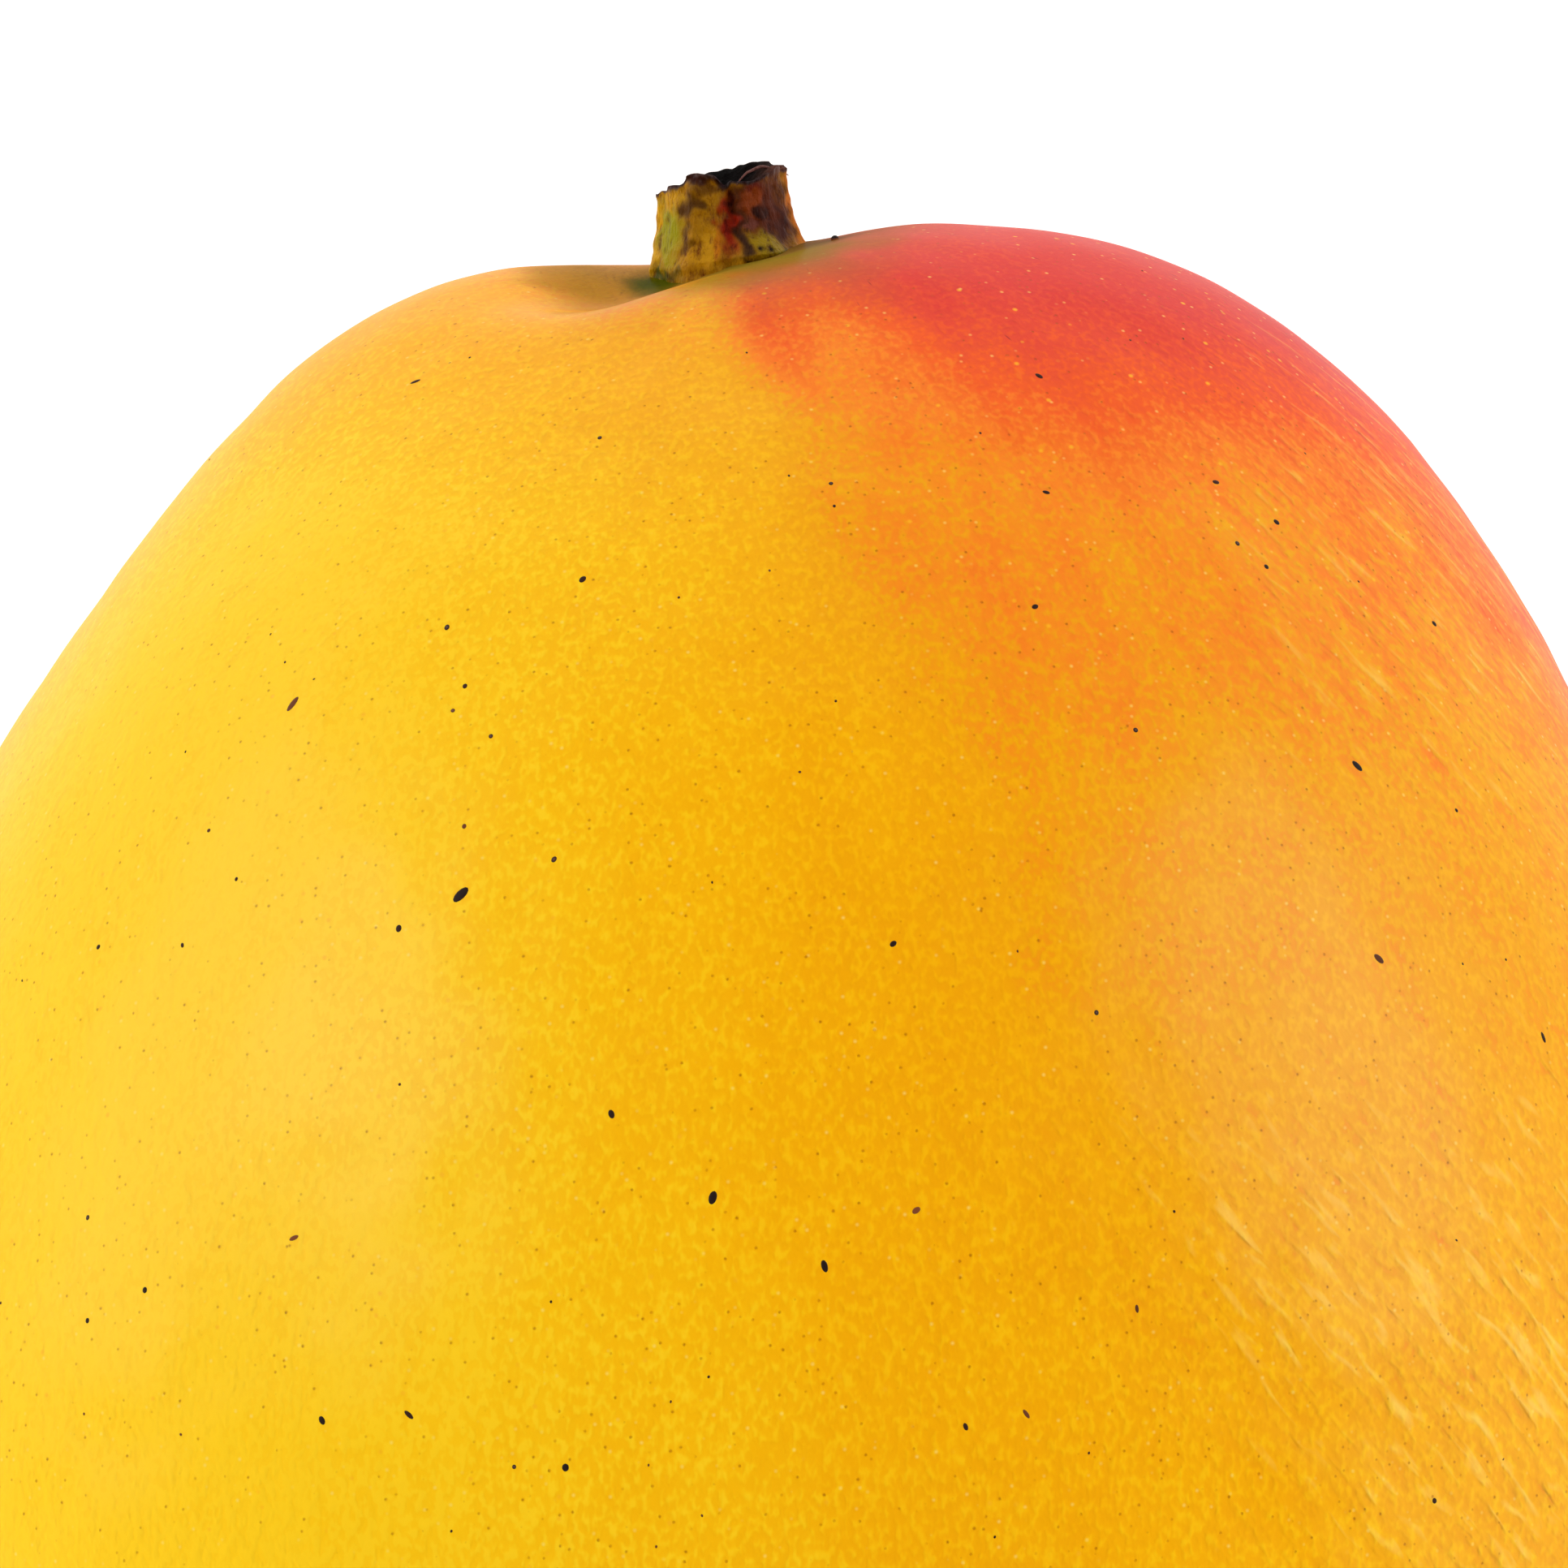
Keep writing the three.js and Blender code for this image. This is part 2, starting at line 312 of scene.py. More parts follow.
# Mango skin: a thin, waxy peel over soft flesh. It is satin with a soft clear gloss, leathery and finely
# grained, yellow where it hung in shade and blushed red on the shoulder that saw the sun.
def skin_material():
    material, tree, shader = new_material("ripe_mango_skin")
    place = add_node(tree, "ShaderNodeTexCoord").outputs["Object"]
    read = {
        name: add_node(tree, "ShaderNodeAttribute", settings={"attribute_name": name}).outputs
        for name in ("ripeness", "stain", "stain_tone", "wrinkling", "meridian", "twisted")
    }
    ripe, stain, wrinkling = (read[name]["Fac"] for name in ("ripeness", "stain", "wrinkling"))
    along, twisted = (read[name]["Vector"] for name in ("meridian", "twisted"))

    # Soft pale grain about 0.3 mm across, drawn out towards the tip and fainter on the blush, in leathery
    # fields of 1 mm
    drawn_out = add_node(
        tree, "ShaderNodeVectorMath", {0: place, 1: (1.0, 0.6, 1.0)}, {"operation": "MULTIPLY"}
    ).outputs[0]
    grain = add_node(
        tree, "ShaderNodeTexNoise", {"Vector": drawn_out, "Scale": 3300.0, "Detail": 1.0, "Roughness": 0.5}
    ).outputs["Fac"]
    leather = add_node(
        tree, "ShaderNodeTexNoise", {"Vector": drawn_out, "Scale": 900.0, "Detail": 2.0}
    ).outputs["Fac"]
    plain_grain = add_node(
        tree, "ShaderNodeMapRange",
        {"Value": grain, "From Min": 0.4, "From Max": 0.74, "To Min": 0.035, "To Max": -0.16},
        {"interpolation_type": "SMOOTHSTEP"},
    ).outputs[0]
    faintness = add_node(
        tree, "ShaderNodeMapRange",
        {"Value": ripe, "From Min": 0.36, "From Max": 0.54, "To Min": 1.0, "To Max": 0.45},
    ).outputs[0]
    pale_grain = add_node(
        tree, "ShaderNodeMath", {0: plain_grain, 1: faintness}, {"operation": "MULTIPLY"}
    ).outputs[0]

    # Wrinkles about 0.8 mm apart that run slantwise to the tip: above 0 on a ridge, below 0 in a furrow
    shortened = add_node(
        tree, "ShaderNodeVectorMath", {0: twisted, 1: (1.0, 1.0, 1.7)}, {"operation": "MULTIPLY"}
    ).outputs[0]
    wrinkles = add_node(
        tree, "ShaderNodeTexNoise", {"Vector": shortened, "Scale": 1.8, "Detail": 1.5, "Distortion": 0.4}
    ).outputs["Fac"]
    about_zero = add_node(
        tree, "ShaderNodeMath", {0: wrinkles, 1: 0.5}, {"operation": "SUBTRACT"}
    ).outputs[0]
    ridges = add_node(
        tree, "ShaderNodeMath", {0: about_zero, 1: wrinkling}, {"operation": "MULTIPLY"}
    ).outputs[0]

    # The tint is the ripeness with streaks 3 mm wide, clouds 5 mm wide and the grain laid over it, and on
    # the wrinkles it is painted yellower on the ridges and oranger in the furrows: painted highlight and
    # shade
    streaks = add_node(
        tree, "ShaderNodeTexNoise", {"Vector": along, "Scale": 0.45, "Detail": 4.0}
    ).outputs["Fac"]
    clouds = add_node(
        tree, "ShaderNodeTexNoise", {"Vector": place, "Scale": 190.0, "Detail": 4.0}
    ).outputs["Fac"]
    tint = add_node(tree, "ShaderNodeMath", {0: ripe, 1: pale_grain}).outputs[0]
    for pattern, amount in ((streaks, 0.14), (clouds, 0.12), (leather, 0.08)):
        change = add_node(
            tree, "ShaderNodeMath", {0: pattern, 1: amount, 2: -amount / 2}, {"operation": "MULTIPLY_ADD"}
        )
        tint = add_node(tree, "ShaderNodeMath", {0: tint, 1: change.outputs[0]}).outputs[0]
    tint = add_node(
        tree, "ShaderNodeMath", {0: ridges, 1: -0.45, 2: tint}, {"operation": "MULTIPLY_ADD"}
    ).outputs[0]
    colour = add_node(
        tree, "ShaderNodeValToRGB", {"Fac": tint},
        stops=[
            (0.0, "#FFCC1A"),
            (0.1, "#FDC30F"),
            (0.2, "#FBB908"),
            (0.32, "#F8AE04"),
            (0.46, "#F3A204"),
            (0.6, "#F88118"),
            (0.74, "#F25A12"),
            (0.88, "#E44424"),
            (1.0, "#DA3428"),
        ],
    ).outputs["Color"]

    # Painted highlight: the tops of the wrinkles are painted paler, as if their gloss shone there
    tops = add_node(
        tree, "ShaderNodeMapRange", {"Value": ridges, "From Min": 0.06, "From Max": 0.22, "To Max": 0.4}
    ).outputs[0]
    colour = add_node(
        tree, "ShaderNodeMix", {0: tops, 6: colour, 7: linear("#FFD870")}, {"data_type": "RGBA"}
    ).outputs[2]

    # Pores like small pits: yellow, pale and rusty ones, and dark red dashes on the blush. The pale ones
    # double as painted glints
    dash_place = add_node(
        tree, "ShaderNodeVectorMath", {0: twisted, 1: (1.0, 1.0, 2.4)}, {"operation": "MULTIPLY"}
    ).outputs[0]
    blush = add_node(
        tree, "ShaderNodeMapRange", {"Value": ripe, "From Min": 0.5, "From Max": 0.85, "To Max": 0.7}
    ).outputs[0]
    kinds = (
        Spots("yellow pores", place, 800.0, 0.04, 0.12, 0.2, 0.75, "#FBB41C"),
        # Pale spots: partly the skin's pale pores and partly painted glints, where a pore's gloss would
        # catch the light
        Spots("pale pores and glints", place, 1500.0, 0.0, 0.17, 0.3, 0.6, "#FFE070"),
        Spots("rusty pores", place, 1700.0, 0.02, 0.14, 0.1, 0.6, "#B85A06"),
        Spots("dashes", dash_place, 1.1, 0.03, 0.09, 0.35, blush, "#8E1420"),
    )
    # Of the cells that aren't bare, those with the lowest numbers have fainter spots
    fainter_share = 0.3
    shown = {}
    for spots in kinds:
        cells = add_node(tree, "ShaderNodeTexVoronoi", {"Vector": spots.place, "Scale": spots.scale})
        cells.label = spots.name
        distance = cells.outputs["Distance"]
        fading = {"From Min": spots.inner, "From Max": spots.outer, "To Min": 1.0, "To Max": 0.0}
        inside = add_node(tree, "ShaderNodeMapRange", {"Value": distance, **fading}).outputs[0]
        number = add_node(tree, "ShaderNodeSeparateColor", {"Color": cells.outputs["Color"]}).outputs[0]
        chosen = add_node(
            tree, "ShaderNodeMapRange",
            {"Value": number, "From Min": spots.bare, "From Max": spots.bare + fainter_share},
        ).outputs[0]
        shown[spots.name] = add_node(
            tree, "ShaderNodeMath", {0: inside, 1: chosen}, {"operation": "MULTIPLY"}
        ).outputs[0]
        amount = add_node(
            tree, "ShaderNodeMath", {0: shown[spots.name], 1: spots.strength}, {"operation": "MULTIPLY"}
        ).outputs[0]
        colour = add_node(
            tree, "ShaderNodeMix", {0: amount, 6: colour, 7: linear(spots.colour)}, {"data_type": "RGBA"}
        ).outputs[2]
    stained = add_node(
        tree, "ShaderNodeMix", {0: stain, 6: colour, 7: read["stain_tone"]["Color"]}, {"data_type": "RGBA"}
    ).outputs[2]

    # Relief, from the broadest to the finest: leather, wrinkles, grain, and the pits of the rusty pores
    pit_height = add_node(
        tree, "ShaderNodeMath", {0: shown["rusty pores"], 1: -1.0}, {"operation": "MULTIPLY"}
    ).outputs[0]
    normal = None
    for height, distance in ((leather, 0.14), (ridges, 0.4), (grain, 0.1), (pit_height, 0.06)):
        inputs = {"Height": height, "Strength": 1.0, "Distance": distance * MM}
        if normal:
            inputs["Normal"] = normal
        normal = add_node(tree, "ShaderNodeBump", inputs).outputs["Normal"]
    tree.links.new(stained, shader.inputs["Base Color"])
    tree.links.new(normal, shader.inputs["Normal"])
    shader.inputs["Roughness"].default_value = 0.5
    shader.inputs["Specular IOR Level"].default_value = 0.0
    # The wax is worn off where the skin is stained round the stalk
    gloss = add_node(
        tree, "ShaderNodeMapRange", {"Value": stain, "To Min": 0.42, "To Max": 0.08}
    ).outputs[0]
    tree.links.new(gloss, shader.inputs["Coat Weight"])
    shader.inputs["Coat Roughness"].default_value = 0.27
    shader.inputs["Coat IOR"].default_value = 1.4
    return material


# A lenticel: a pore that has dried to a dark corky scab, some with a grey middle, in a rusty ring
def fleck_material():
    material, tree, shader = new_material("dried_lenticel")
    tone, grey, edge = (
        add_node(tree, "ShaderNodeAttribute", settings={"attribute_name": name}).outputs["Fac"]
        for name in ("tone", "grey_middle", "edge")
    )
    colour = add_node(
        tree, "ShaderNodeValToRGB", {"Fac": tone},
        stops=[(0.0, "#140A08"), (0.5, "#3A1A10"), (0.8, "#7A4020"), (1.0, "#B4763A")],
    ).outputs["Color"]
    centred = add_node(
        tree, "ShaderNodeMix", {0: grey, 6: colour, 7: linear("#6A5048")}, {"data_type": "RGBA"}
    ).outputs[2]
    ringed = add_node(
        tree, "ShaderNodeMix", {0: edge, 6: centred, 7: linear("#8E4410")}, {"data_type": "RGBA"}
    ).outputs[2]
    tree.links.new(ringed, shader.inputs["Base Color"])
    shader.inputs["Roughness"].default_value = 0.6
    shader.inputs["Specular IOR Level"].default_value = 0.15
    return material


# Drying stalk: bark from lime green over ochre to red-brown, and a nearly black torn cut
def stalk_material():
    material, tree, shader = new_material("dry_mango_stalk")
    place = add_node(tree, "ShaderNodeTexCoord").outputs["Object"]
    bark, dullness = (
        add_node(tree, "ShaderNodeAttribute", settings={"attribute_name": name}).outputs
        for name in ("bark_tone", "dullness")
    )
    drawn_out = add_node(
        tree, "ShaderNodeVectorMath", {0: place, 1: (1.0, 0.4, 1.0)}, {"operation": "MULTIPLY"}
    ).outputs[0]
    mottle = add_node(
        tree, "ShaderNodeTexNoise", {"Vector": drawn_out, "Scale": 2600.0, "Detail": 4.0, "Roughness": 0.7}
    ).outputs["Fac"]
    shade = add_node(
        tree, "ShaderNodeValToRGB", {"Fac": mottle},
        stops=[(0.28, "#94684A"), (0.5, "#FFFFFF"), (0.72, "#FFFFFF")],
    ).outputs["Color"]
    mottled = add_node(
        tree, "ShaderNodeMix", {0: 1.0, 6: bark["Color"], 7: shade},
        {"data_type": "RGBA", "blend_type": "MULTIPLY"},
    ).outputs[2]
    fibres = add_node(
        tree, "ShaderNodeTexNoise", {"Vector": drawn_out, "Scale": 5200.0, "Detail": 3.0}
    ).outputs["Fac"]
    broad = add_node(tree, "ShaderNodeBump", {"Height": mottle, "Strength": 1.0, "Distance": 0.12 * MM})
    fine = add_node(
        tree, "ShaderNodeBump",
        {"Height": fibres, "Strength": 1.0, "Distance": 0.05 * MM, "Normal": broad.outputs["Normal"]},
    )
    tree.links.new(mottled, shader.inputs["Base Color"])
    tree.links.new(dullness["Fac"], shader.inputs["Roughness"])
    tree.links.new(fine.outputs["Normal"], shader.inputs["Normal"])
    shader.inputs["IOR"].default_value = 1.17
    return material


def lay_flat(points):
    """Presses what would reach under the floor flat, with a soft edge: a hyperbola's upper branch."""
    height = points[..., 2]
    pressed = (height + np.sqrt(height**2 + FLAT_SOFTNESS**2)) / 2
    return np.concatenate([points[..., :2], pressed[..., None]], -1)


def angle_to(turn, degrees):
    """The signed angle in degrees from a place given in degrees to each turn."""
    return np.angle(np.exp(1j * (turn - degrees * DEGREE))) / DEGREE


def ripeness(points):
    """How ripe the skin looks, from 0, yellow, over 0.46, amber, to 1, crimson.

    It grows from the slim side to the full side, most of all towards the stem end, on the slim shoulder and
    round the flanks. On the full shoulder the sun's blush turns it orange from one meridian on, and red near
    the stem, with a narrow streak ahead.
    """
    x, y, z = points[..., 0], points[..., 1], points[..., 2]
    turn = np.arctan2(np.abs(z), x - STEM_X) / DEGREE
    amber = (0.33 + 0.15 * smooth_step(y, 0, 38)) * smooth_step(x, -25, 14)
    edge = 71 + 9 * smooth_step(y, 38, 48) + 8 * smooth_step(y, 51, 56)
    orange = (0.55 - amber) * smooth_step(y, 35, 43) * smooth_step(edge - turn, -7, 7)
    red = 0.42 * smooth_step(y, 46, 60) * smooth_step(78 + 10 * smooth_step(y, 55, 58) - turn, 0, 30)
    streak = 0.14 * bell(turn - 80, 7) * smooth_step(y, 51, 56)
    slim_shoulder = 0.22 * smooth_step(y, 46, 56) * smooth_step(-x, -4, 8)
    flank = 0.14 * smooth_step(-np.abs(z), -17, -2)
    return amber + orange + red + streak + slim_shoulder + flank


Patch = namedtuple("Patch", "turn width level spread colour strength")
# Colours of the bark, each a soft spot at a turn and a level, laid over the ones before it. Some are painted
# light and shade, as marked
BARK = "#AC7806"
BARK_PATCHES = [
    Patch(-130, 20, 59.5, 1.8, "#8C8A14", 0.8),
    Patch(-85, 16, 60.2, 1.6, "#7A4A0C", 0.8),
    Patch(-40, 22, 59.8, 1.7, "#6E3A10", 0.8),
    Patch(150, 22, 59.5, 1.8, "#9A9404", 1.0),
    Patch(180, 12, 60, 3, "#DDA812", 0.9),
    Patch(148, 15, 60.9, 0.6, "#D09606", 0.8),
    Patch(121, 9, 60.6, 0.75, "#422204", 0.9),
    Patch(123, 5, 59.1, 0.8, "#5E3C04", 0.7),
    Patch(104, 8, 59.1, 0.7, "#CC9410", 0.8),
    Patch(110, 16, 58.3, 0.4, "#C48C08", 0.8),
    Patch(104, 12, 61.4, 0.35, "#603A06", 0.8),
    Patch(112, 9, 61.75, 0.22, "#3A1016", 0.9),
    Patch(46, 46, 60.4, 2.3, "#562006", 1.0),
    Patch(73, 7, 61, 0.9, "#4A1E0A", 0.8),
    Patch(62, 10, 60.9, 0.8, "#8A3A0A", 0.8),
    Patch(60, 10, 61.5, 0.3, "#5A1204", 0.8),
    Patch(86, 8, 59.8, 1.5, "#921E04", 1.0),
    Patch(97, 4, 58.9, 0.7, "#C86808", 0.6),
    Patch(54, 6, 60.35, 0.4, "#2A0E08", 0.9),
    Patch(69, 7, 59.95, 0.3, "#70382E", 0.8),
    Patch(37, 8, 59.4, 0.45, "#3A0C02", 0.8),
    # Painted shade: a near-black spot on the right face, beside its lit edge
    Patch(31, 5, 60.1, 0.9, "#360A02", 0.8),
    # Painted light: the stub's right edge, painted a lighter orange where the lamp on that side lights it
    Patch(4, 12, 60.2, 2.4, "#C86E12", 0.9),
    Patch(58, 18, 58.75, 0.62, "#8E7206", 1.0),
    Patch(44, 9, 58.4, 0.25, "#5E5408", 0.8),
    Patch(89, 3.6, 61.7, 0.4, "#2A0E08", 0.85),
    Patch(83, 4, 60.9, 0.45, "#30100A", 0.85),
    Patch(78, 4, 59.9, 0.6, "#3A1408", 0.85),
    Patch(75.5, 4, 58.9, 0.8, "#2E1006", 0.95),
    # Painted shadow: a dark line under the bud scale
    Patch(58, 20, 58.06, 0.17, "#2C2404", 0.95),
    Patch(158, 26, 57.35, 0.35, "#4C4A04", 1.0),
    Patch(132, 5, 57.6, 0.25, "#675313", 0.8),
]
# Stains of the skin round the stalk, where the level is the distance from the stalk's foot
STAIN = "#8A6414"
SKIN_PATCHES = [
    Patch(117, 22, 0, 8.6, "#B88450", 0.5),
    Patch(70, 34, 0, 9.0, "#A06A3C", 0.7),
    Patch(20, 50, 0, 6.5, "#B0684A", 0.6),
    Patch(172, 50, 2.2, 3.6, "#A8761A", 0.9),
    Patch(-90, 90, 0, 5.0, "#B48A40", 0.6),
    Patch(76, 42, 0, 7.2, "#82701A", 0.9),
    Patch(26, 24, 0, 4.2, "#5E4822", 0.8),
    Patch(-100, 140, 0, 1.6, "#8A6414", 0.85),
    Patch(150, 34, 0, 1.3, "#4A4C02", 1.0),
]


def painted(base, patches, turn, level):
    """The colour at each turn and level, and how much of it the patches make up.

    A patch is full in its middle and fades with the fourth power of the distance from it.
    """
    colour = np.broadcast_to(paint(base), (*turn.shape, 3))
    covered = np.zeros(turn.shape)
    for patch in patches:
        across = angle_to(turn, patch.turn) / patch.width
        up = (level - patch.level) / patch.spread
        amount = patch.strength * np.exp(-((across**2 + up**2) ** 2))
        colour = blend(colour, paint(patch.colour), amount)
        covered = covered + amount * (1 - covered)
    return colour, covered


def wrinkled_side(points):
    """1 on the full side from the fruit's middle to the tip, where the skin is wrinkled, and 0 elsewhere."""
    x, y = points[..., 0], points[..., 1]
    return smooth_step(x + 0.5 * y, 16, 34) * smooth_step(-y, -32, -12)


def skin_dents(smooth, along):
    """How far the skin lies under its plain form: soft unevenness, and ridges on the wrinkled side."""
    soft = 0.06 * (1 + waves(smooth, 1, 7, 22)) + 0.022 * (1 + waves(smooth, 2, 3, 6))
    ridges = 0.03 * wrinkled_side(smooth) * (1 + waves(along, 3, 0.9, 2.4))
    return 0.01 + np.clip(soft + ridges, 0, None)


def meridian_place(pointing, twist=0.0):
    """Coordinates that run slowly towards the tip and fast round the fruit, about 1 for 1.4 mm round it.

    With a twist the lines of slow change wind round the fruit by that much for each radian of tilt.
    """
    round_it, to_the_tip = 30, 7
    tilt = np.arccos(np.clip(pointing[..., 1], -1, 1))
    turn = np.arctan2(pointing[..., 2], pointing[..., 0]) + twist * tilt
    return np.stack([round_it * np.cos(turn), round_it * np.sin(turn), to_the_tip * tilt], -1)


def make_fruit():
    """The skin: rings round the stem axis, closer near the stem, at the distance skin_distance gives.

    Its unevenness is taken off along the same directions, so the skin never leaves the plain form.
    """
    rings, spokes, crowding = 300, 330, 1.2
    tilt, turn = np.meshgrid(
        np.pi * np.linspace(0, 1, rings) ** crowding,
        np.linspace(0, 2 * np.pi, spokes, endpoint=False),
        indexing="ij",
    )
    pointing = direction(tilt, turn)
    along = meridian_place(pointing)
    smooth = pointing * skin_distance(pointing)[..., None]
    twisted = meridian_place(pointing, WRINKLE_TWIST)
    points = smooth - pointing * skin_dents(smooth, twisted)[..., None]

    x, y, z = smooth[..., 0], smooth[..., 1], smooth[..., 2]
    from_foot = np.hypot(x - STEM_X, z) - STEM_RADIUS - FOOT_FLARE + 0.4 * waves(smooth, 4, 1.5, 5)
    stem_turn = np.arctan2(z, x - STEM_X) + 6 * DEGREE * waves(smooth, 5, 1.5, 5)
    stain_tone, stain = painted(STAIN, SKIN_PATCHES, stem_turn, np.maximum(from_foot, 0))
    upper_rim = smooth_step(x, 12, 30) * smooth_step(y, 26, 44)
    numbers = {
        "ripeness": np.clip(ripeness(smooth), 0, 1),
        "stain": np.where(y > 0, stain, 0),
        # Wrinkling also sets how strongly the ridges are painted with highlight and the furrows with shade
        "wrinkling": 0.1 + 0.6 * upper_rim + 0.9 * wrinkled_side(smooth),
    }
    vectors = {"stain_tone": stain_tone, "meridian": along, "twisted": twisted}
    mesh = closed_mesh("mango_skin", lay_flat(points + ORIGIN)[None], numbers, vectors)
    add_piece(mesh, skin_material(), "fruit")


def bumps_at(bumps, turn):
    """The sum of bell curves round a ring, each with its own place, width and height."""
    total = np.zeros_like(turn)
    for bump in bumps:
        total += bump.height * bell(angle_to(turn, bump.turn), bump.width)
    return total


def rim_height(turn):
    return RIM_HEIGHT + RIM_RISE * np.cos(turn - RIM_RISE_TURN * DEGREE) + bumps_at(RIM_TEARS, turn)


def stem_radius(level, turn):
    """The stub's radius: a cornered section that flares where it meets the fruit, and the bud scale."""
    above_foot = np.maximum(level - FOOT_HEIGHT - FOOT_SLOPE * np.cos(turn), 0)
    flare = (FOOT_FLARE + FOOT_FLARE_LEAN * np.cos(turn)) * np.exp(-above_foot / FLARE_FADE)
    bud = bumps_at([BUD], turn) * bell(level - BUD_LEVEL, BUD_SPREAD)
    return STEM_RADIUS + bumps_at(STEM_CORNERS, turn) + flare + bud


def bark_places(turn, level):
    """Where waves are taken on the bark: places drawn out along the stub, for its ribs, and plain ones."""
    ring = np.stack([np.cos(turn), np.sin(turn)], -1) * STEM_RADIUS
    up = level[..., None]
    return np.concatenate([ring * RIB_CROWDING, RIB_STRETCH * up], -1), np.concatenate([ring, up], -1)


def bud_holes(turn, level):
    """How far in one of the bud scale's holes each place is, up to 1 in the middle of it."""
    return sum(
        bell(angle_to(turn, middle), HOLE_WIDTH) * bell(level - height, HOLE_SPREAD)
        for middle, height in BUD_HOLES
    )


def bark_radius(turn, level, below_rim):
    """The stub's radius with all the relief of its bark, and a little less, to stay inside the solid."""
    ribbed, plain = bark_places(turn, level)
    ribs = 0.05 * waves(ribbed, 6, 0.7, 2.2) + 0.03 * waves(plain, 7, 0.35, 1.1)
    rolled = bell(below_rim, ROLL_SPREAD) * (1 + waves(plain, 9, 0.3, 0.8))
    rolled = rolled * (0.02 + bumps_at([ROLLED_EDGE], turn))
    spread_foot = bumps_at([SPREAD_FOOT], turn) * bell(level - FOOT_LEVEL, FOOT_SPREAD)
    crease_turn = CREASE_TURN + CREASE_SLANT * (level - CREASE_LEVEL)
    crease = CREASE_DEPTH * bell(angle_to(turn, crease_turn), CREASE_WIDTH)
    drawn_in = bumps_at([DRAWN_IN], turn) * smooth_step(-below_rim, -2.4, -0.2)
    taken_off = crease + drawn_in + HOLE_DEPTH * bud_holes(turn, level) + BARK_SUNK
    return stem_radius(level, turn) + ribs + rolled + spread_foot - taken_off


def bark_colours(turn, level, below_rim):
    """The colour of the bark, the colour that its crust would have, and how burnt it is from 0 to 1."""
    ribbed, plain = bark_places(turn, level)
    ragged_turn = turn + 5 * DEGREE * waves(plain, 10, 0.4, 1.5)
    ragged_level = level + 0.16 * waves(plain, 11, 0.4, 1.5)
    bark, _ = painted(BARK, BARK_PATCHES, ragged_turn, ragged_level)
    bark = blend(bark, paint(HOLE), np.clip(1.2 * bud_holes(turn, level), 0, 1))
    band = BURNT_BAND + bumps_at(BURNT_BUMPS, turn) + 0.07 * waves(ribbed, 12, 0.6, 2)
    burnt = np.exp(-((below_rim / np.maximum(band, 0.05)) ** 4))
    specks = 0.04 * np.clip(waves(plain, 13, 0.15, 0.5), 0, None)
    # The crust is painted mauve-grey at MAUVE_PLACES, which at 114° is a painted glint on the rolled edge
    crust = blend(paint(CRUST) + specks[..., None], paint(MAUVE), 0.8 * bumps_at(MAUVE_PLACES, turn))
    return blend(bark, crust, burnt), crust, burnt


def make_stem():
    """The stub: out over the dished cut to the rim, down the cornered side, and in to the end of the root.

    Each third of the grid is one stretch of that profile.
    """
    spokes, cut_rings, side_rings, root_rings = 300, 60, 110, 8
    turn_line = np.linspace(0, 2 * np.pi, spokes, endpoint=False)
    ring = np.arange(cut_rings + side_rings + root_rings + 1)
    step, turn = np.meshgrid(ring, turn_line, indexing="ij")
    out = np.clip(step / cut_rings, 0, 1)
    down = np.clip((step - cut_rings) / side_rings, 0, 1)
    under = np.clip((step - cut_rings - side_rings) / root_rings, 0, 1)
    on_cut = step <= cut_rings

    _, rim_place = bark_places(turn, 0 * turn)
    rim = rim_height(turn) + bumps_at(CRUST_TEARS, turn) + 0.06 * waves(rim_place, 5, 0.4, 1.4)
    rim = np.minimum(rim, rim_height(turn_line).max() - RIM_SUNK)
    foot = FOOT_HEIGHT + FOOT_SLOPE * np.cos(turn) - SIDE_SUNK
    middle = RIM_HEIGHT - CUT_DEPTH
    cut_level = middle + (rim - middle) * smooth_step(out, 0.35, 0.93)
    side_level = rim + (foot - rim) * down
    below_rim = rim - side_level
    side_radius = bark_radius(turn, side_level, below_rim)
    radius = np.where(on_cut, out * side_radius, side_radius + (ROOT_RADIUS - side_radius) * under)
    radius[-1] = 0
    across, upright = radius * np.cos(turn), radius * np.sin(turn)
    cut_place = np.stack([across, upright, 0 * turn], -1)
    rough_cut = 0.08 * waves(cut_place, 8, 0.3, 1.2) * np.sin(np.pi * out) ** 2
    level = np.where(on_cut, cut_level, side_level + (ROOT_HEIGHT - foot) * under)
    level = level + np.where(step < cut_rings, rough_cut, 0)
    points = np.stack([STEM_X + across, level, upright], -1)

    tone, crust, burnt = bark_colours(turn, side_level, below_rim)
    mauve_wall = bumps_at([MAUVE_WALL], turn) * smooth_step(out, 0.45, 0.7)
    inside = blend(paint(HOLLOW), paint(MAUVE), mauve_wall)
    inside = blend(inside, crust, smooth_step(out, 0.88, 1.0))
    numbers = {"dullness": np.where(on_cut, 0.95, 0.5 - 0.22 * burnt)}
    vectors = {"bark_tone": np.where(on_cut[..., None], inside, tone)}
    mesh = closed_mesh("stalk_stub", (points + ORIGIN)[None], numbers, vectors)
    add_piece(mesh, stalk_material(), "stem_stub")


def camera_axes():
    """The camera's right, up and backward unit vectors."""
    back = np.array([0, np.sin(CAMERA_LEAN), np.cos(CAMERA_LEAN)])
    up = np.array([0, np.cos(CAMERA_LEAN), -np.sin(CAMERA_LEAN)])
    return np.cross(up, back), up, back


